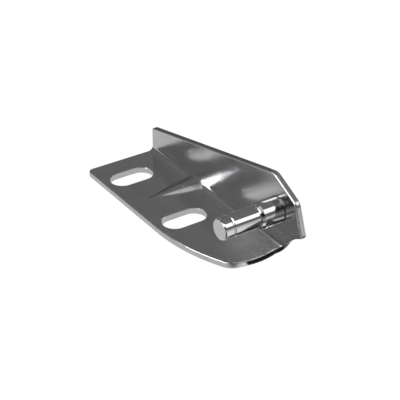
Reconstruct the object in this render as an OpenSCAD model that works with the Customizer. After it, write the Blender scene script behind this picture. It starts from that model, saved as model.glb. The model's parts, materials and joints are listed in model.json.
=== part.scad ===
// Side-mounted bow roller bracket: a bent stainless sheet with a stub pin for the roller
// X runs along the bend towards the pin, Y across towards the upright flange, Z up.
// The origin is the centre of the rear mounting slot, on the underside.

/* [Sheet] */
// Thickness of the sheet
sheet_t = 3; // [2:0.5:4]
// Width over the base and the flange
base_w = 40; // [38:1:50]
// Length of the base at the front curve
base_l = 108; // [104:1:116]
// Inner radius of the bend
bend_r = 2.5; // [2:0.5:4]
// Radius of the rear corner of the base
rear_corner_r = 1.6; // [1:0.2:4]

/* [Base front] */
// Radius of the long curve where the near edge starts to turn
nose_r = 90; // [80:1:100]
// Angle at which the long curve ends
nose_end = 25.5; // [22:0.5:28]
// Radius of the tight front corner
corner_r = 7.5; // [6:0.5:9]
// Angle at which the front corner ends
corner_end = 72; // [68:1:75]
// Radius of the front end
front_r = 36; // [32:1:40]

/* [Flange] */
// Height of the flange at the rear end
flange_rear_h = 15; // [12:1:20]
// Slope of the flange's top edge in degrees
flange_slope = 12; // [8:0.5:14]
// Distance from the rear end to the flange's top corner
flange_top_x = 98.8; // [94:0.2:100]
// Distance from the rear end to the flange's front corner
flange_front_x = 114.6; // [112:0.2:116]
// Height of the flange's front corner
flange_front_h = 28; // [26:0.5:30]
// Distance from the rear end to the flange's front toe
toe_x = 119.6; // [118:0.2:124]
// Height of the flange's front toe
toe_h = 13.2; // [12:0.2:16]
// Radius of the hollow curve under the toe
hollow_r = 24; // [20:1:30]

/* [Slots] */
// Width of a mounting slot
slot_w = 12; // [8:0.5:13]
// Length of a mounting slot over its round ends
slot_l = 22; // [16:1:24]
// Distance between the slots along the bend
slot_gap = 46; // [40:1:50]
// Distance from the rear end to the rear slot
slot_rear_x = 17.5; // [14:0.5:20]
// Distance from the near edge to the slots' centres
slot_y = 14.5; // [13:0.5:16]

/* [Pressed rib] */
// Distance from the rear end to the rib
rib_x = 40; // [36:0.2:42]
// Distance from the near edge to the rib's point
rib_tip_y = 9.5; // [8:0.5:18]
// Width of the rib at the flange
rib_w = 17.8; // [12:0.2:20]
// Height of the rib above the base at the flange
rib_h = 3.9; // [2:0.1:5]

/* [Roller pin] */
// Diameter of the pin where the roller runs
pin_d = 10; // [9.8:0.1:10.2]
// Length of the pin from the flange
pin_l = 30; // [26:0.5:34]
// Distance from the rear end to the pin
pin_x = 102; // [100:0.5:104]
// Height of the pin above the underside
pin_z = 19.5; // [18:0.5:22]
// Diameter of the groove for the retaining clip
groove_d = 9.6; // [7:0.1:9.6]
// Width of the groove for the retaining clip
groove_w = 1.1; // [0.9:0.1:1.5]
// Distance from the pin's free end to the middle of the groove
groove_at = 4.8; // [3:0.1:8]
// Diameter of the pin's seat under the sleeve
seat_d = 10.4; // [10.4:0.05:10.6]
// Length of the taper from the seat down to the roller's place
lead_in = 0.8; // [0.4:0.1:1]
// Diameter of the pin's tail in the flange
tail_d = 8; // [6:0.5:9]
// Diameter of the riveted head behind the flange
rivet_d = 12; // [10:0.5:14]
// Height of the riveted head
rivet_h = 1.6; // [1:0.2:2.4]

/* [Spacer sleeve] */
// Outer diameter of the sleeve
sleeve_d = 12.4; // [12.4:0.2:14]
// Length of the sleeve
sleeve_l = 11.2; // [8:0.2:14]
// Radial clearance of the sleeve on its seat
sleeve_gap = 0.05; // [0.03:0.01:0.1]

/* [Hidden] */
$fn = 96;

steel = [0.62, 0.63, 0.65];
pin_steel = [0.74, 0.75, 0.77];
sleeve_steel = [0.68, 0.69, 0.71];

toe_r = 1.4;
top_corner_r = 6;
front_corner_r = 5;
rear_top_r = 1.2;
nose_run = 44.5;
foot_back = 2;
foot_angle = 23;
toe_skirt = 4;
point_r = 0.01;
arc_steps = 10;
seam = 0.5;
cut = 1;
tail_gap = 0.04;
chamfer = 0.6;
end_gap = 0.3;
sleeve_cone = [0.5, 1.2];
countersink = 0.5;

outer_r = bend_r + sheet_t;
bend_y = base_w - outer_r;
face_y = base_w - sheet_t;
full_l = toe_x + toe_skirt;
full_h = flange_rear_h + flange_top_x * tan(flange_slope);
seat_l = end_gap + sleeve_l;
groove_z = pin_l - groove_at - groove_w / 2;

// Tangent arcs of the base's front: each centre follows from the arc before it
nose_centre = [base_l - nose_run, nose_r];
corner_centre = nose_centre + (nose_r - corner_r) * [sin(nose_end), -cos(nose_end)];
front_centre = corner_centre - (front_r - corner_r) * [sin(corner_end), -cos(corner_end)];
front_end = 90 + asin((bend_y + seam - front_centre[1]) / front_r);

// The cone that shapes the rib: its round section is rib_w wide and rib_h high at the flange
rib_run = face_y - rib_tip_y;
rib_r = (rib_w * rib_w / 4 + rib_h * rib_h) / (2 * rib_h);
rib_drop = rib_r - rib_h;
rib_tilt = atan(rib_drop / rib_run);
rib_over = 1.25;

// Points along an arc, measured from straight down and turning towards +X
function arc(centre, r, from, to) = [
    for (i = [0:arc_steps])
        let (a = from + (to - from) * i / arc_steps)
        centre + r * [sin(a), -cos(a)]
];

function unit(v) = v / norm(v);

// Points of a corner b between a and c, rounded with radius r
function round_corner(a, b, c, r) =
    let (
        u = unit(a - b),
        v = unit(c - b),
        half = acos(u * v) / 2,
        centre = b + unit(u + v) * r / sin(half),
        first = b + u * r / tan(half) - centre,
        last = b + v * r / tan(half) - centre,
        way = sign(first[0] * last[1] - first[1] * last[0]),
        step = way * (180 - 2 * half) / arc_steps,
        start = atan2(first[1], first[0])
    )
    [for (i = [0:arc_steps]) centre + r * [cos(start + i * step), sin(start + i * step)]];

// Flat outline of the base, seen from above
module base_outline() {
    polygon(concat(
        [[0, bend_y + seam]],
        round_corner([0, bend_y], [0, 0], [nose_centre[0], 0], rear_corner_r),
        arc(nose_centre, nose_r, 0, nose_end),
        arc(corner_centre, corner_r, nose_end, corner_end),
        arc(front_centre, front_r, corner_end, front_end)
    ));
}

// Outline of the flange and the bend, seen from the near side
module flange_outline() {
    rear_top = [0, flange_rear_h];
    top = [flange_top_x, full_h];
    front = [flange_front_x, flange_front_h];
    toe = [toe_x, toe_h];
    foot = [base_l - foot_back, 0];
    hollow_centre = foot + hollow_r * [cos(foot_angle), -sin(foot_angle)];
    difference() {
        polygon(concat(
            [[0, 0]],
            round_corner([0, 0], rear_top, top, rear_top_r),
            round_corner(rear_top, top, front, top_corner_r),
            round_corner(top, front, toe, front_corner_r),
            round_corner(front, toe, foot, toe_r),
            [[toe_x - toe_skirt, 0]]
        ));
        translate(hollow_centre)
            circle(hollow_r);
    }
}

// Section of the bent sheet
module bend_section() {
    square([bend_y, sheet_t]);
    translate([face_y, outer_r])
        square([sheet_t, full_h - outer_r]);
    translate([bend_y, outer_r]) {
        intersection() {
            difference() {
                circle(outer_r);
                circle(bend_r);
            }
            translate([0, -outer_r])
                square(outer_r);
        }
    }
}

module bent_sheet() {
    intersection() {
        rotate([90, 0, 90])
            linear_extrude(full_l)
                bend_section();
        union() {
            linear_extrude(full_h)
                base_outline();
            translate([0, base_w, 0])
                rotate([90, 0, 0])
                    linear_extrude(outer_r)
                        flange_outline();
        }
    }
}

module slot(x) {
    reach = slot_l / 2 - slot_w / 2;
    translate([x, slot_y, -cut]) {
        translate([-slot_w / 2, -reach, 0])
            cube([slot_w, 2 * reach, sheet_t + 2 * cut]);
        for (side = [-1, 1])
            translate([0, side * reach, 0])
                cylinder(h = sheet_t + 2 * cut, d = slot_w);
    }
}

// Cone with its point on the base at the rib's tip, opening towards the flange
module rib_cone(lift) {
    translate([rib_x, rib_tip_y, lift])
        rotate([-90 - rib_tilt, 0, 0])
            cylinder(h = rib_run * rib_over, r1 = point_r, r2 = rib_r * rib_over * cos(rib_tilt));
}

module rib() {
    intersection() {
        rib_cone(sheet_t);
        translate([rib_x - rib_w, rib_tip_y, sheet_t / 2])
            cube([2 * rib_w, face_y + sheet_t / 2 - rib_tip_y, rib_h + sheet_t]);
    }
}

// Hollow that the press leaves behind the rib
module rib_hollow() {
    intersection() {
        rib_cone(0);
        translate([rib_x - rib_w, rib_tip_y, -cut])
            cube([2 * rib_w, base_w + cut - rib_tip_y, rib_h + cut]);
    }
}

// Moves a shape from the rear near corner to the origin in the rear slot
module place() {
    translate([-slot_rear_x, -slot_y, 0])
        children();
}

// Turns a shape on +Z to the pin's axis: z = 0 is the flange's inner face, +Z is the free end
module on_pin_axis() {
    translate([pin_x, face_y, pin_z])
        rotate([90, 0, 0])
            children();
}

module bracket_plate() {
    color(steel)
        place()
            difference() {
                union() {
                    bent_sheet();
                    rib();
                }
                rib_hollow();
                slot(slot_rear_x);
                slot(slot_rear_x + slot_gap);
                on_pin_axis()
                    translate([0, 0, -sheet_t - cut])
                        cylinder(h = sheet_t + 2 * cut, d = tail_d + 2 * tail_gap);
            }
}

module roller_pin() {
    color(pin_steel)
        place()
            on_pin_axis() {
                cylinder(h = seat_l - lead_in, d = seat_d);
                translate([0, 0, seat_l - lead_in])
                    cylinder(h = lead_in, d1 = seat_d, d2 = pin_d);
                translate([0, 0, seat_l])
                    cylinder(h = groove_z - seat_l, d = pin_d);
                translate([0, 0, groove_z])
                    cylinder(h = groove_w, d = groove_d);
                translate([0, 0, groove_z + groove_w])
                    cylinder(h = pin_l - chamfer - groove_z - groove_w, d = pin_d);
                translate([0, 0, pin_l - chamfer])
                    cylinder(h = chamfer, d1 = pin_d, d2 = pin_d - 2 * chamfer);
                translate([0, 0, -sheet_t])
                    cylinder(h = sheet_t, d = tail_d);
                // Riveted head: a low dome
                translate([0, 0, -sheet_t - rivet_h])
                    intersection() {
                        cylinder(h = rivet_h, d = rivet_d);
                        translate([0, 0, rivet_d])
                            sphere(rivet_d);
                    }
            }
}

module spacer_sleeve() {
    bore = seat_d + 2 * sleeve_gap;
    color(sleeve_steel)
        place()
            on_pin_axis()
                translate([0, 0, end_gap])
                    difference() {
                        union() {
                            cylinder(h = sleeve_l - sleeve_cone[1], d = sleeve_d);
                            translate([0, 0, sleeve_l - sleeve_cone[1]])
                                cylinder(h = sleeve_cone[1], d1 = sleeve_d, d2 = sleeve_d - 2 * sleeve_cone[0]);
                        }
                        translate([0, 0, -cut])
                            cylinder(h = sleeve_l + 2 * cut, d = bore);
                        translate([0, 0, sleeve_l - countersink])
                            cylinder(h = countersink, d1 = bore, d2 = bore + countersink);
                    }
}

bracket_plate();
roller_pin();
spacer_sleeve();
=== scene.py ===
import json
import math

import bpy
import numpy as np
from mathutils import Matrix, Vector
from mathutils.geometry import delaunay_2d_cdt


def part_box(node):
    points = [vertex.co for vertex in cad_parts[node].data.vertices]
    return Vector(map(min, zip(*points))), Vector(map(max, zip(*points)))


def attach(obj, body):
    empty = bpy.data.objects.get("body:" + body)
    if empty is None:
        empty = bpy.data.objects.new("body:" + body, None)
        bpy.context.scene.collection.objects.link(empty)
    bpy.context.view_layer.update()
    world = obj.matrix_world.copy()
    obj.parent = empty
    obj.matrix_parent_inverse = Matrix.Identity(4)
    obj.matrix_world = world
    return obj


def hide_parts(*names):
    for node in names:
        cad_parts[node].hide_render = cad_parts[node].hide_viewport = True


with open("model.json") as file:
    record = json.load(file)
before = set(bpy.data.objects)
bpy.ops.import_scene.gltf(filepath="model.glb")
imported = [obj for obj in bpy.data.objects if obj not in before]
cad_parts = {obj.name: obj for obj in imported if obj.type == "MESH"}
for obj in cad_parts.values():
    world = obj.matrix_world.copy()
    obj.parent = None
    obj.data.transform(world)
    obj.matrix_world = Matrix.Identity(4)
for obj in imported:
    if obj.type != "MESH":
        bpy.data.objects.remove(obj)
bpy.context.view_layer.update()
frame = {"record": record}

MM = 0.001
plate_lo, plate_hi = (np.array(c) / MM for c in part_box("bracket_plate"))
pin_lo, pin_hi = (np.array(c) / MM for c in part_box("roller_pin"))
sleeve_lo, sleeve_hi = (np.array(c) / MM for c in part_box("spacer_sleeve"))

# ---------------------------------------------------------------- sizes, in mm
# The sheet is drawn from its rear near corner: x along the bend, s across the flat blank.
ORIGIN = np.array([plate_lo[0], plate_lo[1], 0.0])
T = 3.0  # thickness of the sheet
WIDTH = plate_hi[1] - plate_lo[1]
BEND_R = 2.5  # inside the bend
OUT_R = BEND_R + T
MID_R = BEND_R + T / 2
BEND_S = WIDTH - OUT_R  # where the bend starts and ends on the blank
ARC = MID_R * math.pi / 2
FLANGE_S = BEND_S + ARC
BEND_STEPS = 12
BEND_LINES = [BEND_S + ARC * k / BEND_STEPS for k in range(BEND_STEPS + 1)]
EDGE_R, EDGE_R_FRONT, EDGE_R_HOLE = 0.55, 0.75, 0.28  # roundings of the sheet's edges
PIN_X = (pin_lo[0] + pin_hi[0]) / 2 - ORIGIN[0]
PIN_Z = (pin_lo[2] + pin_hi[2]) / 2
FACE_Y = WIDTH - T

# The rib: its middle, the point on the base, and its width and height at the flange
RIB_X, RIB_TIP, RIB_W, RIB_H = 40.0, 9.5, 17.8, 3.9
rib_run = FACE_Y - RIB_TIP
rib_r = (RIB_W ** 2 / 4 + RIB_H ** 2) / (2 * RIB_H)
rib_drop = rib_r - RIB_H


# ---------------------------------------------------------------- outline of the flat blank
def arc(centre, r, start, end, step=0.35):
    """Points on an arc, angles in degrees from straight down, turning towards +X."""
    n = max(4, int(abs(math.radians(end - start)) * r / step))
    a = np.radians(np.linspace(start, end, n + 1))
    return np.c_[centre[0] + r * np.sin(a), centre[1] - r * np.cos(a)]


def rounded(a, b, c, r, n=10):
    """An arc of radius r in the corner at b, on the way from a to c."""
    a, b, c = (np.array(p, float) for p in (a, b, c))
    u, v = (a - b) / np.linalg.norm(a - b), (c - b) / np.linalg.norm(c - b)
    half = math.acos(np.clip(u @ v, -1, 1)) / 2
    centre = b + (u + v) / np.linalg.norm(u + v) * r / math.sin(half)
    p, q = b + u * r / math.tan(half) - centre, b + v * r / math.tan(half) - centre
    sweep = math.copysign(math.pi - 2 * half, p[0] * q[1] - p[1] * q[0])
    start = math.atan2(p[1], p[0])
    k = start + sweep * np.arange(n + 1) / n
    return centre + r * np.c_[np.cos(k), np.sin(k)]


def bezier(p0, p1, p2, p3, n=24):
    t = np.linspace(0, 1, n + 1)[:, None]
    return (1 - t) ** 3 * p0 + 3 * t * (1 - t) ** 2 * p1 + 3 * t * t * (1 - t) * p2 + t ** 3 * p3


def flange_point(x, z):
    """The place on the blank of a point on the flange."""
    return np.array([x, FLANGE_S + z - OUT_R])


# The base's near edge is straight, then a wide arc, a tighter corner and a rounded front
REAR_CORNER_R = 2.6
NOSE_X, NOSE_R, NOSE_END = 63.5, 90.0, 25.5
CORNER_R, CORNER_END, FRONT_R = 7.5, 72.0, 36.0


def from_centre(angle):
    return np.array([math.sin(math.radians(angle)), -math.cos(math.radians(angle))])


nose_centre = np.array([NOSE_X, NOSE_R])
corner_centre = nose_centre + (NOSE_R - CORNER_R) * from_centre(NOSE_END)
front_centre = corner_centre - (FRONT_R - CORNER_R) * from_centre(CORNER_END)
front_end = 90 + math.degrees(math.asin((BEND_S - 1.5 - front_centre[1]) / FRONT_R))
base_end = arc(front_centre, FRONT_R, CORNER_END, front_end)

# The hollow at the flange's foot, and the flange's corners as x and height
HOLLOW_R, HOLLOW_TURN, HOLLOW_LOW, HOLLOW_HIGH = 24.0, math.radians(23), 7.0, 11.6
foot = np.array([106.0, 0.0])
hollow_centre = foot + HOLLOW_R * np.array([math.cos(HOLLOW_TURN), -math.sin(HOLLOW_TURN)])
TOE, FRONT, TOP, REAR_TOP = (119.6, 13.2), (114.6, 28.0), (98.8, 36.0), (0.0, 15.0)
TOE_R, FRONT_CORNER_R, TOP_R, REAR_TOP_R = 1.4, 5.0, 6.0, 1.2


def hollow(z):
    return np.array([hollow_centre[0] - math.sqrt(HOLLOW_R ** 2 - (z - hollow_centre[1]) ** 2), z])


low = hollow(HOLLOW_LOW)
low_tangent = hollow(HOLLOW_LOW + 0.3) - hollow(HOLLOW_LOW - 0.3)
low_tangent /= np.linalg.norm(low_tangent)
end_tangent = base_end[-1] - base_end[-2]
end_tangent /= np.linalg.norm(end_tangent)
low_flat = flange_point(*low)
foot_curve = bezier(base_end[-1], base_end[-1] + end_tangent * 3.2,
                    low_flat - low_tangent * 3.6, low_flat)

# The hollow's circle up to the toe, then the toe's small rounding
rim = [hollow(z) for z in np.linspace(HOLLOW_LOW, HOLLOW_HIGH, 16)]
flange_edge = np.vstack([
    rim,
    rounded(rim[-1], TOE, FRONT, TOE_R),
    rounded(TOE, FRONT, TOP, FRONT_CORNER_R),
    rounded(FRONT, TOP, REAR_TOP, TOP_R),
    rounded(TOP, REAR_TOP, (0, 0), REAR_TOP_R),
])
flange_edge = np.array([flange_point(x, z) for x, z in flange_edge])
outline = np.vstack([
    rounded((0, FLANGE_S), (0, 0), (NOSE_X, 0), REAR_CORNER_R),
    arc(nose_centre, NOSE_R, 0, NOSE_END),
    arc(corner_centre, CORNER_R, NOSE_END, CORNER_END)[1:],
    base_end[1:],
    foot_curve[1:],
    flange_edge[1:],
])


def closed_loop(points, step):
    """Points at most about a step apart, and one wherever the loop crosses a bend line."""
    points = np.vstack([points, points[:1]])
    keep = np.r_[True, np.linalg.norm(np.diff(points, axis=0), axis=1) > 1e-6]
    points = points[keep]
    out = [points[0]]
    for a, b in zip(points[:-1], points[1:]):
        cuts = [(s - a[1]) / (b[1] - a[1]) for s in BEND_LINES if (a[1] - s) * (b[1] - s) < -1e-9]
        cuts = sorted([0.0, 1.0] + cuts)
        for low_cut, high_cut in zip(cuts[:-1], cuts[1:]):
            n = max(1, int(np.linalg.norm(b - a) * (high_cut - low_cut) / step + 0.5))
            out += [a + (b - a) * (low_cut + (high_cut - low_cut) * k / n) for k in range(1, n + 1)]
    return np.array(out[:-1])


def outward(loop, sign):
    """Unit normals of a closed loop; sign 1 for a counter-clockwise outer loop."""
    t = np.roll(loop, -1, 0) - np.roll(loop, 1, 0)
    t /= np.linalg.norm(t, axis=1)[:, None]
    return sign * np.c_[t[:, 1], -t[:, 0]]


def slot_loop(x, y, w=12.0, length=22.0, n=36):
    reach = length / 2 - w / 2
    a = np.linspace(0, math.pi, n + 1)
    top = np.c_[x + w / 2 * np.cos(a), y + reach + w / 2 * np.sin(a)]
    bottom = np.c_[x - w / 2 * np.cos(a), y - reach - w / 2 * np.sin(a)]
    return np.vstack([top, bottom])


def circle_loop(x, s, r, n=64):
    a = np.linspace(0, 2 * math.pi, n, endpoint=False)
    return np.c_[x + r * np.cos(a), s + r * np.sin(a)]


SLOT_Y = -ORIGIN[1]
LOOP_STEP = 1.6
TAIL_HOLE_R = 4.04
slots = [m for m in frame["record"]["mounts"] if m["kind"] == "bolt_pattern"]
slot_x = [m["pos_m"][0] / MM - ORIGIN[0] for m in slots]
# Every edge of the sheet: the outline, the slots and the hole for the pin's tail
loops = [(closed_loop(outline, LOOP_STEP), 1)]
loops += [(closed_loop(slot_loop(x, SLOT_Y), LOOP_STEP), -1) for x in slot_x]
loops += [(circle_loop(PIN_X, flange_point(0, PIN_Z)[1], TAIL_HOLE_R), -1)]


# ---------------------------------------------------------------- the bent sheet as a surface
def bend_map(p, n):
    """Blank points (x, s) at height n above the middle of the sheet, as 3-D points."""
    x, s = p[:, 0], p[:, 1]
    a = np.clip((s - BEND_S) / MID_R, 0, math.pi / 2)
    r = MID_R - n
    y = np.where(s < BEND_S, s, BEND_S + r * np.sin(a))
    z = T / 2 + n + np.where(s < BEND_S, 0, r * (1 - np.cos(a)))
    z = z + np.where(s > FLANGE_S, s - FLANGE_S, 0)
    return np.c_[x, y, z]


def bend_normal(p):
    """The direction that n grows in."""
    a = np.clip((p[:, 1] - BEND_S) / MID_R, 0, math.pi / 2)
    return np.c_[np.zeros(len(p)), -np.sin(a), np.cos(a)]


def skin(q, inner):
    """Distance out of the sheet's inner or outer face, before the rib."""
    y, z = q[:, 1], q[:, 2]
    floor, wall, r = (T, FACE_Y, BEND_R) if inner else (0.0, WIDTH, OUT_R)
    flat = np.minimum(z - floor, wall - y)
    cy, cz = BEND_S, OUT_R
    in_bend = (y > cy) & (z < cz)
    return np.where(in_bend, r - np.hypot(y - cy, z - cz), flat)


def cone(q, lift):
    """Distance out of the rib's cone, whose point is at the tip."""
    p = q - np.array([RIB_X, RIB_TIP, lift])
    a = np.array([0, rib_run, -rib_drop])
    a /= np.linalg.norm(a)
    along = p @ a
    off = np.linalg.norm(p - along[:, None] * a, axis=1)
    tilt = math.atan2(rib_drop, rib_run)
    slope = math.atan(rib_r * math.cos(tilt) / math.hypot(rib_run, rib_drop))
    return off * math.cos(slope) - along * math.sin(slope)


BLEND = 1.0  # width of the smooth join between the sheet and the rib


def solid(q, inner):
    """Distance out of the sheet with its rib, negative inside."""
    a, b = skin(q, inner), cone(q, T if inner else 0.0)
    h = np.clip(BLEND - np.abs(a - b), 0, None) / BLEND
    return np.minimum(a, b) - h ** 3 * BLEND / 6


OUT = np.array([0, -1, 1]) / math.sqrt(2)
MOST_LIFT, HALVINGS = 9.0, 40


def raise_rib(q, inner):
    """Moves face points out along OUT until they are on the rib."""
    lo, hi = np.zeros(len(q)), np.full(len(q), MOST_LIFT)
    inside = solid(q, inner) < -1e-7
    for _ in range(HALVINGS):
        mid = (lo + hi) / 2
        under = solid(q + mid[:, None] * OUT, inner) < 0
        lo, hi = np.where(under, mid, lo), np.where(under, hi, mid)
    return q + np.where(inside, (lo + hi) / 2, 0)[:, None] * OUT, inside


def gradient(q, inner, e=0.01):
    """Unit normals of the sheet with its rib."""
    g = np.zeros_like(q)
    for k in range(3):
        d = np.zeros(3)
        d[k] = e
        g[:, k] = solid(q + d, inner) - solid(q - d, inner)
    return g / np.linalg.norm(g, axis=1)[:, None]


def edge_radius(p, sign):
    """Rounder round the front of the flange and the toe, and sharper in the slots."""
    if sign < 0:
        return np.full((len(p), 1), EDGE_R_HOLE)
    t = np.clip((p[:, 0] - 90) / 8, 0, 1) * np.clip((p[:, 1] - FLANGE_S) / 5, 0, 1)
    return (EDGE_R + (EDGE_R_FRONT - EDGE_R) * t * t * (3 - 2 * t))[:, None]


# Spacing of the face's points: close on the rib, wider elsewhere
RIB_STEP, RIB_REACH, RIB_START, FACE_STEP, FACE_MARGIN = 0.5, 13, 8, 4.0, 3
LINE_POINTS, LINE_REACH, LINE_MARGIN = 77, 114, 0.9


def triangulate():
    """The face of the blank, set in from every edge, as flat points and triangles."""
    points, edges = [], []
    for loop, sign in loops:
        ring = loop - outward(loop, sign) * edge_radius(loop, sign)
        start = len(points)
        points += list(ring)
        edges += [(start + i, start + (i + 1) % len(ring)) for i in range(len(ring))]
    rim_count = len(points)
    loops_in = [loop - outward(loop, sign) * edge_radius(loop, sign) for loop, sign in loops]
    for s in BEND_LINES:
        start = len(points)
        xs = np.linspace(0, LINE_REACH, LINE_POINTS)
        before, after = (np.c_[xs + d, 0 * xs + s] for d in (-LINE_MARGIN, LINE_MARGIN))
        xs = xs[inside_poly(before, loops_in[0]) & inside_poly(after, loops_in[0])]
        points += [np.array([x, s]) for x in xs]
        edges += [(start + i, start + i + 1) for i in range(len(xs) - 1)]
    for x in np.arange(RIB_X - RIB_REACH, RIB_X + RIB_REACH + 0.01, RIB_STEP):
        for s in np.arange(RIB_START, FLANGE_S + 6, RIB_STEP):
            if min(abs(s - line) for line in BEND_LINES) > 0.2:
                points.append(np.array([x, s]))
    for x in np.arange(FACE_MARGIN, 118, FACE_STEP):
        for s in np.arange(FACE_MARGIN, FLANGE_S + 32, FACE_STEP):
            on_rib = abs(x - RIB_X) < RIB_REACH + 1 and RIB_START - 2 < s < FLANGE_S + 7
            if not on_rib and not BEND_S - 1 < s < FLANGE_S + 1:
                points.append(np.array([x, s]))
    out = delaunay_2d_cdt([Vector(p) for p in points], edges, [], 0, 1e-5)
    verts = np.array([tuple(v) for v in out[0]])
    tris = np.array(out[2])
    centres = verts[tris].mean(1)
    keep = inside_poly(centres, loops_in[0])
    for hole in loops_in[1:]:
        keep &= ~inside_poly(centres, hole)
    tris = tris[keep]
    source = [list(v) for v in out[3]]
    where = {}
    for i, s in enumerate(source):
        for k in s:
            if k < rim_count:
                where[k] = i
    return verts, tris, where


def inside_poly(p, poly):
    """Which points are inside a closed polygon."""
    x, y = p[:, 0], p[:, 1]
    inside = np.zeros(len(p), bool)
    q = np.roll(poly, -1, 0)
    for (x0, y0), (x1, y1) in zip(poly, q):
        cross = ((y0 > y) != (y1 > y)) & (x < (x1 - x0) * (y - y0) / (y1 - y0 + 1e-15) + x0)
        inside ^= cross
    return inside


def make_object(name, verts, faces, normals):
    """A mesh with its own smooth normals; points in mm from the rear near corner."""
    mesh = bpy.data.meshes.new(name)
    mesh.from_pydata([tuple(v) for v in (verts + ORIGIN) * MM], [], faces)
    mesh.validate()
    mesh.update()
    mesh.polygons.foreach_set("use_smooth", [True] * len(mesh.polygons))
    mesh.normals_split_custom_set_from_vertices([tuple(n) for n in normals])
    obj = bpy.data.objects.new(name, mesh)
    bpy.context.scene.collection.objects.link(obj)
    return obj


ROUND_STEPS = 4


def make_plate():
    """Both faces of the sheet, bent and with the rib, joined by the rounded edges."""
    flat, tris, rim = triangulate()
    used = np.unique(tris)
    new = -np.ones(len(flat), int)
    new[used] = np.arange(len(used))
    flat, tris = flat[used], new[tris]
    rim = {k: new[v] for k, v in rim.items()}
    verts, normals, faces = [], [], []
    for inner in (True, False):
        q = bend_map(flat, T / 2 if inner else -T / 2)
        q, moved = raise_rib(q, inner)
        grad = gradient(q, inner)
        near = cone(q, T if inner else 0.0) - skin(q, inner) < BLEND
        plain = bend_normal(flat)
        n = np.where((moved | near)[:, None], grad, plain)
        start = len(verts)
        verts += list(q)
        normals += list(n if inner else -n)
        faces += [tuple(start + (t if inner else t[::-1])) for t in tris]
    half = len(flat)
    count = 0
    for loop, sign in loops:
        out = outward(loop, sign)
        rings = [[rim[count + i] for i in range(len(loop))]]
        for side in (1, -1):
            steps = range(1, ROUND_STEPS + 1)
            for k in steps if side == 1 else reversed(steps):
                a = math.pi / 2 * k / ROUND_STEPS
                r = edge_radius(loop, sign)
                p = loop - out * r * (1 - math.sin(a))
                height = side * (T / 2 - r[:, 0] * (1 - math.cos(a)))
                q = bend_map(p, height)
                across = bend_normal(p)
                turn_s = np.c_[np.zeros(len(p)), across[:, 2], -across[:, 1]]
                wall = np.c_[out[:, 0], np.zeros(len(p)), np.zeros(len(p))] + out[:, 1:2] * turn_s
                n = wall * math.sin(a) + side * across * math.cos(a)
                start = len(verts)
                verts += list(q)
                normals += list(n)
                rings.append([start + i for i in range(len(loop))])
        rings.append([half + rim[count + i] for i in range(len(loop))])
        count += len(loop)
        for a, b in zip(rings[:-1], rings[1:]):
            for i in range(len(loop)):
                j = (i + 1) % len(loop)
                f = (a[i], b[i], b[j], a[j])
                faces.append(f if sign == 1 else f[::-1])
    obj = make_object("plate_sheet", np.array(verts), faces, np.array(normals))
    mark = obj.data.attributes.new("cut_edge", "FLOAT", "POINT")
    mark.data.foreach_set("value", np.r_[np.zeros(2 * half), np.ones(len(verts) - 2 * half)])
    return obj


# ---------------------------------------------------------------- turned parts
def lathe(name, profile, closed=False, segments=128):
    """A turned part on the pin's axis, from rows of distance, radius, normal along and normal out.

    The distance runs from the flange's inner face towards the free end.
    """
    rows, normals, faces = [], [], []
    centre = np.array([PIN_X, FACE_Y, PIN_Z])
    a = np.linspace(0, 2 * math.pi, segments, endpoint=False)
    ring = np.c_[np.sin(a), np.zeros(segments), np.cos(a)]
    axis = np.array([0, -1.0, 0])
    for d, r, na, nr in profile:
        if r < 1e-6:
            rows.append([centre + axis * d])
            normals.append([axis * (1 if na > 0 else -1)])
        else:
            rows.append(list(centre + axis * d + ring * r))
            v = axis * na + ring * nr
            normals.append(list(v / np.linalg.norm(v, axis=1)[:, None]))
    index, total = [], 0
    for row in rows:
        index.append(list(range(total, total + len(row))))
        total += len(row)
    for p, q in zip(index, index[1:] + (index[:1] if closed else [])):
        for i in range(segments):
            j = (i + 1) % segments
            if len(p) == 1:
                faces.append((p[0], q[j], q[i]))
            elif len(q) == 1:
                faces.append((p[i], p[j], q[0]))
            else:
                faces.append((p[i], p[j], q[j], q[i]))
    verts = np.array([v for row in rows for v in row])
    normals = np.array([n for row in normals for n in row])
    return make_object(name, verts, faces, normals)


def line_profile(corners, closed=False, steps=4):
    """Rounds the corners (distance, radius, rounding) of a turned outline; rows with normals."""
    rows = []
    pts = [np.array(c[:2], float) for c in corners]
    count = len(corners)

    def outside(v):
        v = v / np.linalg.norm(v)
        return np.array([v[1], -v[0]])

    for i, (d, r, e) in enumerate(corners):
        if not closed and i in (0, count - 1):
            other = pts[1] if i == 0 else pts[-2]
            v = (other - pts[i]) if i == 0 else (pts[i] - other)
            rows.append((*pts[i], *outside(v)))
            continue
        a, b, c = pts[(i - 1) % count], pts[i], pts[(i + 1) % count]
        u, v = (a - b) / np.linalg.norm(a - b), (c - b) / np.linalg.norm(c - b)
        before, after = outside(b - a), outside(c - b)
        if e <= 0:
            rows.append((*b, *before))
            rows.append((*b, *after))
            continue
        half = math.acos(np.clip(u @ v, -1, 1)) / 2
        centre = b + (u + v) / np.linalg.norm(u + v) * e / math.sin(half)
        for k in range(steps + 1):
            n = before * (1 - k / steps) + after * (k / steps)
            n = n / np.linalg.norm(n)
            side = 1 if (b - centre) @ (before + after) > 0 else -1
            rows.append((*(centre + side * n * e), *n))
    return rows


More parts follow.
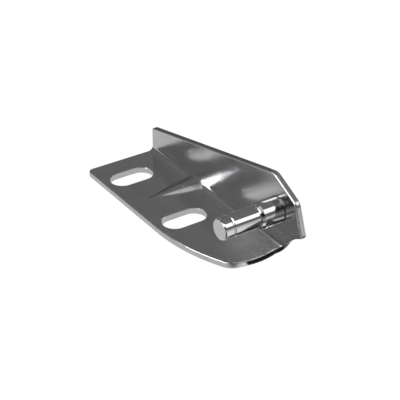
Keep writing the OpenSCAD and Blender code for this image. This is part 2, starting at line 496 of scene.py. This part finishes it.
# Outlines run from the free end back to the rivet, along the outside
PIN_L = FACE_Y - (pin_lo[1] - ORIGIN[1])
GROOVE_W, GROOVE_R = 1.1, 4.75
GROOVE_D = PIN_L - 4.8 - GROOVE_W / 2
SEAT_R, PIN_R, TAIL_R = 5.2, 5.0, 4.0
SEAT_L = 11.5
HEAD_R, HEAD_H, DOME_R = 5.75, 1.6, 12.0  # the riveted head and its dome
dome_d = -T - HEAD_H + DOME_R
dome = [(dome_d - DOME_R * math.cos(a), DOME_R * math.sin(a)) for a in np.linspace(0.5, 0.0, 9)]
pin_corners = [
    (PIN_L, 0, 0),
    (PIN_L, PIN_R - 0.4, 0.15),
    (PIN_L - 0.5, PIN_R, 0.3),
    (GROOVE_D + GROOVE_W, PIN_R, 0.1),
    (GROOVE_D + GROOVE_W * 0.75, GROOVE_R, 0.25),
    (GROOVE_D + GROOVE_W * 0.25, GROOVE_R, 0.25),
    (GROOVE_D, PIN_R, 0.1),
    (SEAT_L, PIN_R, 0.3),
    (SEAT_L - 0.8, SEAT_R, 0.3),
    (0.0, SEAT_R, 0.1),
    (0.0, TAIL_R, 0.1),
    (-T, TAIL_R, 0.1),
    (-T, HEAD_R, 0.05),
    (*dome[0], 0.05),
    (*dome[1], 0.0),
]
pin_rows = line_profile(pin_corners)[:-1]
for d, r in dome[1:]:
    a = math.asin(r / DOME_R)
    pin_rows.append((d, r, -math.cos(a), math.sin(a)))
pin = lathe("pin_turned", pin_rows)

inner_end = FACE_Y - (sleeve_hi[1] - ORIGIN[1])
free_end = FACE_Y - (sleeve_lo[1] - ORIGIN[1])
SLEEVE_R = (sleeve_hi[0] - sleeve_lo[0]) / 2
BORE_R = SEAT_R + 0.05
sleeve_corners = [
    (free_end, BORE_R + 0.25, 0.06),
    (free_end, SLEEVE_R - 0.5, 0.12),
    (free_end - 1.2, SLEEVE_R, 0.5),
    (inner_end, SLEEVE_R, 0.25),
    (inner_end, BORE_R, 0.1),
    (free_end - 0.5, BORE_R, 0.1),
]
sleeve = lathe("sleeve_turned", line_profile(sleeve_corners, closed=True), closed=True)

plate = make_plate()


# ---------------------------------------------------------------- materials
RANGE = ("From Min", "From Max", "To Min", "To Max")


class Nodes:
    """Short calls for building one material's nodes."""

    def __init__(self, name):
        self.material = bpy.data.materials.new(name)
        self.material.use_nodes = True
        self.tree = self.material.node_tree
        self.shader = self.tree.nodes["Principled BSDF"]

    def link(self, source, target):
        if isinstance(source, (int, float)):
            target.default_value = source
        else:
            self.tree.links.new(source, target)

    def new(self, kind, **settings):
        node = self.tree.nodes.new(kind)
        for key, value in settings.items():
            setattr(node, key, value)
        return node

    def noise(self, vector, scale, detail=2.0, rough=0.5):
        node = self.new("ShaderNodeTexNoise")
        self.link(vector, node.inputs["Vector"])
        node.inputs["Scale"].default_value = scale
        node.inputs["Detail"].default_value = detail
        node.inputs["Roughness"].default_value = rough
        return node.outputs["Fac"]

    def scaled(self, vector, factors):
        node = self.new("ShaderNodeVectorMath", operation="MULTIPLY")
        self.link(vector, node.inputs[0])
        node.inputs[1].default_value = factors
        return node.outputs["Vector"]

    def ramp(self, value, low, high, to_low=0.0, to_high=1.0):
        node = self.new("ShaderNodeMapRange")
        self.link(value, node.inputs["Value"])
        for key, v in zip(RANGE, (low, high, to_low, to_high)):
            node.inputs[key].default_value = v
        return node.outputs["Result"]

    def math(self, operation, a, b):
        node = self.new("ShaderNodeMath", operation=operation)
        self.link(a, node.inputs[0])
        self.link(b, node.inputs[1])
        return node.outputs["Value"]

    def total(self, *values):
        out = values[0]
        for value in values[1:]:
            out = self.math("ADD", out, value)
        return out

    def tint(self, by, dark, light):
        node = self.new("ShaderNodeMix", data_type="RGBA")
        self.link(by, node.inputs["Factor"])
        node.inputs["A"].default_value = (*dark, 1)
        node.inputs["B"].default_value = (*light, 1)
        return node.outputs["Result"]

    def bump(self, height, distance, normal=None):
        node = self.new("ShaderNodeBump")
        node.inputs["Distance"].default_value = distance
        self.link(height, node.inputs["Height"])
        if normal:
            self.link(normal, node.inputs["Normal"])
        return node.outputs["Normal"]


def sheet_metal(name, dark, light, rough):
    """Polished stainless sheet: fine lines along the bend, a few scratches, smears, ground edges
    that are rougher and carry a painted highlight in their colour.
    """
    n = Nodes(name)
    place = n.new("ShaderNodeTexCoord").outputs["Object"]
    edge = n.new("ShaderNodeAttribute", attribute_name="cut_edge").outputs["Fac"]
    lines = n.noise(n.scaled(place, (40, 1700, 1700)), 1.0, 3.0, 0.6)
    streaks = n.noise(n.scaled(place, (12, 420, 420)), 1.0, 2.0)
    across = n.noise(n.scaled(place, (700, 700, 260)), 1.0, 3.0, 0.7)
    scratch = n.ramp(n.noise(n.scaled(place, (22, 640, 900)), 1.0, 1.0), 0.66, 0.74)
    waves = n.noise(place, 34.0, 1.0)
    smears = n.ramp(n.noise(place, 90.0, 4.0, 0.6), 0.35, 0.7)
    spots = n.ramp(n.noise(place, 900.0, 2.0), 0.68, 0.8)
    edge_grain = n.math("MULTIPLY", edge, across)
    n.link(n.total(
        n.ramp(lines, 0.3, 0.7, rough - 0.012, rough + 0.012),
        n.math("MULTIPLY", smears, 0.05),
        n.math("MULTIPLY", scratch, 0.05),
        n.math("MULTIPLY", spots, 0.08),
        n.math("MULTIPLY", edge_grain, 0.08),
    ), n.shader.inputs["Roughness"])
    shade = n.total(
        n.ramp(smears, 0.0, 1.0, 0.75, 0.35),
        n.ramp(lines, 0.3, 0.7, -0.2, 0.2),
        # painted highlight: the cut edges' colour is lightened so their walls read brighter, as if
        # lit by the floor they face
        n.math("MULTIPLY", edge, 0.1),
    )
    n.link(n.tint(shade, dark, light), n.shader.inputs["Base Color"])
    bent = n.bump(waves, 0.00028)
    bent = n.bump(streaks, 0.000004, bent)
    bent = n.bump(lines, 0.0000012, bent)
    bent = n.bump(scratch, 0.000003, bent)
    n.link(n.bump(edge_grain, 0.000003, bent), n.shader.inputs["Normal"])
    n.shader.inputs["Metallic"].default_value = 1.0
    return n.material


def turned_metal(name, dark, light, rough):
    """Turned stainless bar: fine rings round the pin's axis, light wear, a dented riveted head."""
    n = Nodes(name)
    place = n.new("ShaderNodeTexCoord").outputs["Object"]
    centred = n.new("ShaderNodeVectorMath", operation="SUBTRACT")
    n.link(place, centred.inputs[0])
    centred.inputs[1].default_value = PIN_AXIS_AT
    axis_off = n.new("ShaderNodeVectorMath", operation="LENGTH")
    n.link(n.scaled(centred.outputs["Vector"], (1, 0, 1)), axis_off.inputs[0])
    split = n.new("ShaderNodeSeparateXYZ")
    n.link(place, split.inputs[0])
    rings_at = n.new("ShaderNodeCombineXYZ")
    n.link(n.math("MULTIPLY", split.outputs["Y"], 2600.0), rings_at.inputs["X"])
    n.link(n.math("MULTIPLY", axis_off.outputs["Value"], 2600.0), rings_at.inputs["Y"])
    rings = n.noise(rings_at.outputs["Vector"], 1.0, 2.0, 0.6)
    wide = n.noise(n.scaled(rings_at.outputs["Vector"], (0.22, 0.22, 0)), 1.0, 1.0)
    smears = n.ramp(n.noise(place, 160.0, 4.0, 0.6), 0.35, 0.7)
    scuffs = n.ramp(n.noise(n.scaled(place, (300, 1500, 300)), 1.0, 2.0), 0.64, 0.76)
    back = PIN_AXIS_AT[1] + T * MM
    peened = n.ramp(split.outputs["Y"], back - 0.0002, back)
    dents = n.math("MULTIPLY", peened, n.noise(place, 900.0, 2.0))
    n.link(n.total(
        n.ramp(rings, 0.3, 0.7, rough - 0.02, rough + 0.02),
        n.math("MULTIPLY", smears, 0.04),
        n.math("MULTIPLY", scuffs, 0.10),
        n.math("MULTIPLY", peened, 0.16),
    ), n.shader.inputs["Roughness"])
    shade = n.total(n.ramp(smears, 0.0, 1.0, 0.8, 0.4), n.ramp(rings, 0.3, 0.7, -0.2, 0.2))
    n.link(n.tint(shade, dark, light), n.shader.inputs["Base Color"])
    cut = n.bump(wide, 0.000012)
    cut = n.bump(dents, 0.00012, cut)
    n.link(n.bump(rings, 0.0000016, cut), n.shader.inputs["Normal"])
    n.shader.inputs["Metallic"].default_value = 1.0
    return n.material


PIN_AXIS_AT = tuple((np.array([PIN_X, FACE_Y, PIN_Z]) + ORIGIN) * MM)
sheet_look = sheet_metal("polished_sheet", (0.58, 0.58, 0.59), (0.72, 0.72, 0.73), 0.168)
pin_look = turned_metal("turned_pin", (0.67, 0.67, 0.68), (0.79, 0.79, 0.80), 0.06)
sleeve_look = turned_metal("turned_sleeve", (0.64, 0.64, 0.65), (0.77, 0.77, 0.78), 0.07)

for piece, look, node, body in (
    (plate, sheet_look, "bracket_plate", "bracket"),
    (pin, pin_look, "roller_pin", "bracket"),
    (sleeve, sleeve_look, "spacer_sleeve", "sleeve"),
):
    piece.data.materials.append(look)
    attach(piece, body)
    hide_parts(node)


# ---------------------------------------------------------------- studio
def plane(name, size, centre, facing=(0, 0, 1)):
    """A flat rectangle, in metres."""
    mesh = bpy.data.meshes.new(name)
    w, h = size[0] / 2, size[1] / 2
    mesh.from_pydata([(-w, -h, 0), (w, -h, 0), (w, h, 0), (-w, h, 0)], [], [(0, 1, 2, 3)])
    obj = bpy.data.objects.new(name, mesh)
    bpy.context.scene.collection.objects.link(obj)
    obj.location = centre
    obj.rotation_mode = "QUATERNION"
    obj.rotation_quaternion = Vector(facing).to_track_quat("Z", "Y")
    return obj


def glow(name, strength):
    """A surface that shines evenly."""
    m = bpy.data.materials.new(name)
    m.use_nodes = True
    tree = m.node_tree
    tree.nodes.clear()
    shine = tree.nodes.new("ShaderNodeEmission")
    shine.inputs["Strength"].default_value = strength
    out = tree.nodes.new("ShaderNodeOutputMaterial")
    tree.links.new(shine.outputs[0], out.inputs[0])
    return m


DIM, DARK = 0.16, 0.02


def studio_world():
    """Dim surroundings for reflections, darkest low at the rear; plain white for the camera."""
    world = bpy.data.worlds.new("studio")
    world.use_nodes = True
    tree = world.node_tree
    tree.nodes.clear()
    new, link = tree.nodes.new, tree.links.new
    place = new("ShaderNodeTexCoord")
    split = new("ShaderNodeSeparateXYZ")
    link(place.outputs["Generated"], split.inputs[0])
    level = []
    for axis, low, high in (("Z", 0.05, 0.38), ("X", -0.3, 0.1)):
        ramp = new("ShaderNodeMapRange")
        ramp.interpolation_type = "SMOOTHSTEP"
        for key, value in zip(RANGE, (low, high, DARK, DIM)):
            ramp.inputs[key].default_value = value
        link(split.outputs[axis], ramp.inputs["Value"])
        level.append(ramp.outputs[0])
    most = new("ShaderNodeMath")
    most.operation = "MAXIMUM"
    link(level[0], most.inputs[0])
    link(level[1], most.inputs[1])
    ray = new("ShaderNodeLightPath")
    room = new("ShaderNodeBackground")
    link(most.outputs[0], room.inputs["Color"])
    back = new("ShaderNodeBackground")
    back.inputs["Color"].default_value = (1, 1, 1, 1)
    mix = new("ShaderNodeMixShader")
    link(ray.outputs["Is Camera Ray"], mix.inputs[0])
    link(room.outputs[0], mix.inputs[1])
    link(back.outputs[0], mix.inputs[2])
    out = new("ShaderNodeOutputWorld")
    link(mix.outputs[0], out.inputs[0])
    return world


bpy.context.scene.world = studio_world()


def stage_plane(name, size, centre, material, facing=(0, 0, 1)):
    """A plane that only the metal's reflections see."""
    obj = plane(name, size, centre, facing)
    obj.data.materials.append(material)
    obj.visible_camera = False
    obj.visible_shadow = False
    return obj


# The camera sees a white floor; the metal's reflections see a grey table in its place
floor = plane("floor", (8, 8), (0, 0, -0.0003))
floor.data.materials.append(glow("floor_white", 1.0))
floor.visible_glossy = floor.visible_diffuse = False


def at(x, y, z=0.0):
    """A place in metres, given in mm from the sheet's rear near corner."""
    return tuple((np.array([x, y, z]) + ORIGIN) * MM)


def table_material():
    """Grey, lighter in front of the part, with its soft shadow running out from under the front."""
    m = bpy.data.materials.new("table_grey")
    m.use_nodes = True
    tree = m.node_tree
    tree.nodes.clear()
    new, link = tree.nodes.new, tree.links.new
    place = new("ShaderNodeNewGeometry")

    def along(normal, origin, low, high):
        """0 to 1 with the distance from a line through origin, from low to high mm."""
        dot = new("ShaderNodeVectorMath")
        dot.operation = "DOT_PRODUCT"
        link(place.outputs["Position"], dot.inputs[0])
        dot.inputs[1].default_value = (*normal, 0)
        base = sum(n * c for n, c in zip(normal, at(*origin)))
        ramp = new("ShaderNodeMapRange")
        ramp.interpolation_type = "SMOOTHSTEP"
        ramp.inputs["From Min"].default_value = base + low * MM
        ramp.inputs["From Max"].default_value = base + high * MM
        link(dot.outputs["Value"], ramp.inputs["Value"])
        return ramp.outputs[0]

    def mix(a, b, by):
        node = new("ShaderNodeMix")
        link(by, node.inputs["Factor"])
        for socket, value in ((node.inputs["A"], a), (node.inputs["B"], b)):
            if isinstance(value, float):
                socket.default_value = value
            else:
                link(value, socket)
        return node.outputs["Result"]

    front = along((1.0, 0.0), (104, 0), 0, 6)
    behind = along((0.0, 1.0), (104, 60), 0, 30)
    far = along((1.0, 0.0), (104, 0), 50, 120)
    shade_side = along((-0.57, 0.82), (113, 22), -1, 4)
    near_side = along((0.33, -0.94), (118, 19), -1, 5)
    light = mix(0.85, mix(0.07, 0.8, far), shade_side)
    light = mix(light, mix(0.12, 0.4, far), near_side)
    light = mix(light, 0.5, behind)
    under = mix(0.6, light, front)
    shine = new("ShaderNodeEmission")
    link(under, shine.inputs["Strength"])
    out = new("ShaderNodeOutputMaterial")
    link(shine.outputs[0], out.inputs[0])
    return m


stage_plane("table", (8, 8), (0, 0, -0.0004), table_material())


def card(name, low, high, strength, height=1.0):
    """A flat light or dark card: low and high are its corners, as steps across per metre up."""
    size = ((high[0] - low[0]) * height, (high[1] - low[1]) * height)
    centre = ((high[0] + low[0]) / 2 * height, (high[1] + low[1]) / 2 * height, height)
    return stage_plane(name, size, centre, glow(name + "_glow", strength), (0, 0, -1))


card("light_side", (0.5, 0.52), (1.65, 1.15), 1.45)
card("light_over", (-0.15, -0.3), (1.3, 0.5), 0.6, 0.98)
card("light_front", (-0.75, -2.0), (0.75, -0.95), 8.0, 0.98)
card("dark_front", (-0.5, -2.4), (3.2, -0.3), 0.0)

# Small lights close to the part: one for the sleeve, one for the base's front, one far ahead
from_sleeve = np.array([-0.63, -0.52, 0.575])
near = np.array([97.5, 37, 30]) + 60 * from_sleeve
stage_plane("light_near", (0.018, 0.018), at(*near), glow("light_near_glow", 2.2), -from_sleeve)
stage_plane("light_low", (0.012, 0.016), at(35, 6, 49), glow("light_low_glow", 0.6), (0, 0, -1))
stage_plane("light_far", (0.5, 0.09), (0.98, 0.53, 0.045), glow("light_far_glow", 0.8),
            (-0.88, -0.476, 0.0))

# A dark strip on the table along the foot of the base's rounded front
STRIP_NEAR, STRIP_FAR, STRIP_UNDER = 0.9, 9.0, -0.2
edge = np.vstack([
    base_end[base_end[:, 1] > base_end[0, 1] + 5.0],
    bend_map(foot_curve[1:14], -T / 2)[:, :2],
])
edge_out = outward(edge, 1)[1:-1]
edge = edge[1:-1]
strip = np.vstack([edge + edge_out * STRIP_NEAR, (edge + edge_out * STRIP_FAR)[::-1]])
mesh = bpy.data.meshes.new("contact_shade")
mesh.from_pydata([at(x, y, STRIP_UNDER) for x, y in strip], [], [tuple(range(len(strip)))])
contact = bpy.data.objects.new("contact_shade", mesh)
bpy.context.scene.collection.objects.link(contact)
mesh.materials.append(glow("contact_dark", 0.01))
contact.visible_camera = contact.visible_shadow = False

# ---------------------------------------------------------------- camera
LENS = 108.65
AZIMUTH, ELEVATION, ROLL = 56.3109, 30.8238, -0.2163
FROM_REAR_CORNER = (453.2, -236.8, 289.2)

cam_data = bpy.data.cameras.new("camera")
cam_data.sensor_width = 36
cam_data.lens = LENS
cam_data.clip_start, cam_data.clip_end = 0.01, 20
cam = bpy.data.objects.new("camera", cam_data)
bpy.context.scene.collection.objects.link(cam)
bpy.context.scene.camera = cam
az, el, roll = (math.radians(v) for v in (AZIMUTH, ELEVATION, ROLL))
forward = Vector((-math.sin(az) * math.cos(el), math.cos(az) * math.cos(el), -math.sin(el)))
right = Vector((math.cos(az), math.sin(az), 0))
up = right.cross(forward)
right, up = (right * math.cos(roll) + up * math.sin(roll),
             up * math.cos(roll) - right * math.sin(roll))
rear_corner = Vector((ORIGIN[0], ORIGIN[1], 0)) * MM
cam.location = rear_corner + Vector(FROM_REAR_CORNER) * MM
cam.rotation_mode = "QUATERNION"
cam.rotation_quaternion = Matrix((right, up, -forward)).transposed().to_quaternion()

scene = bpy.context.scene
scene.view_settings.view_transform = "Standard"
scene.view_settings.look = "None"
